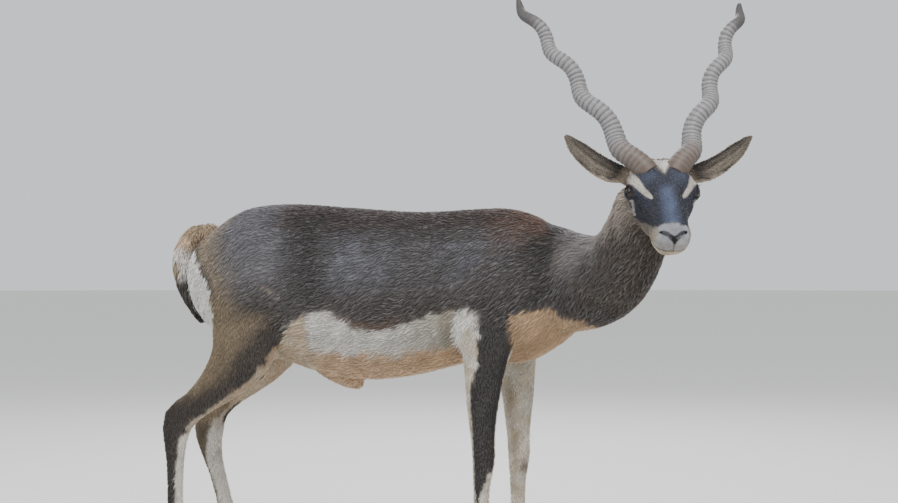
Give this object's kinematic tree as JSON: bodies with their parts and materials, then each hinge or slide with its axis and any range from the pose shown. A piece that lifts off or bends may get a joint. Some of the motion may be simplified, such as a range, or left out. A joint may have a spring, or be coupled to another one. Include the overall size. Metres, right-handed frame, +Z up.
{
  "type": "blackbuck",
  "caption": "Standing male blackbuck antelope, life size, with spiral horns, head turned to its right, on four hooves.",
  "frame": {"origin": "on the floor, under the middle of the model's box", "axes": "+X towards the breast, +Y towards the animal's left, +Z up"},
  "size_m": [1.2934, 0.4586, 1.1979],
  "materials": {
    "coat_torso": "short dull hair",
    "coat_neck": "short dull hair",
    "coat_head": "short dull hair",
    "coat_tail": "longer soft hair",
    "coat_ear": "short dull hair",
    "coat_leg": "short dull hair",
    "nose": "moist, finely pebbled skin",
    "eye": "wet and glossy",
    "horn": "ringed, satin horn",
    "hoof": "satin horn"
  },
  "bodies": {
    "root": {"torso": "coat_torso", "neck": "coat_neck", "head": "coat_head", "nose": "nose", "tail": "coat_tail", "eye_right": "eye", "ear_right": "coat_ear", "horn_right": "horn", "leg_front_right": "coat_leg", "hoof_front_right_outer": "hoof", "dewclaw_front_right_outer": "hoof", "hoof_front_right_inner": "hoof", "dewclaw_front_right_inner": "hoof", "leg_hind_right": "coat_leg", "hoof_hind_right_outer": "hoof", "dewclaw_hind_right_outer": "hoof", "hoof_hind_right_inner": "hoof", "dewclaw_hind_right_inner": "hoof", "eye_left": "eye", "ear_left": "coat_ear", "horn_left": "horn", "leg_front_left": "coat_leg", "hoof_front_left_outer": "hoof", "dewclaw_front_left_outer": "hoof", "hoof_front_left_inner": "hoof", "dewclaw_front_left_inner": "hoof", "leg_hind_left": "coat_leg", "hoof_hind_left_outer": "hoof", "dewclaw_hind_left_outer": "hoof", "hoof_hind_left_inner": "hoof", "dewclaw_hind_left_inner": "hoof"}
  },
  "joints": []
}
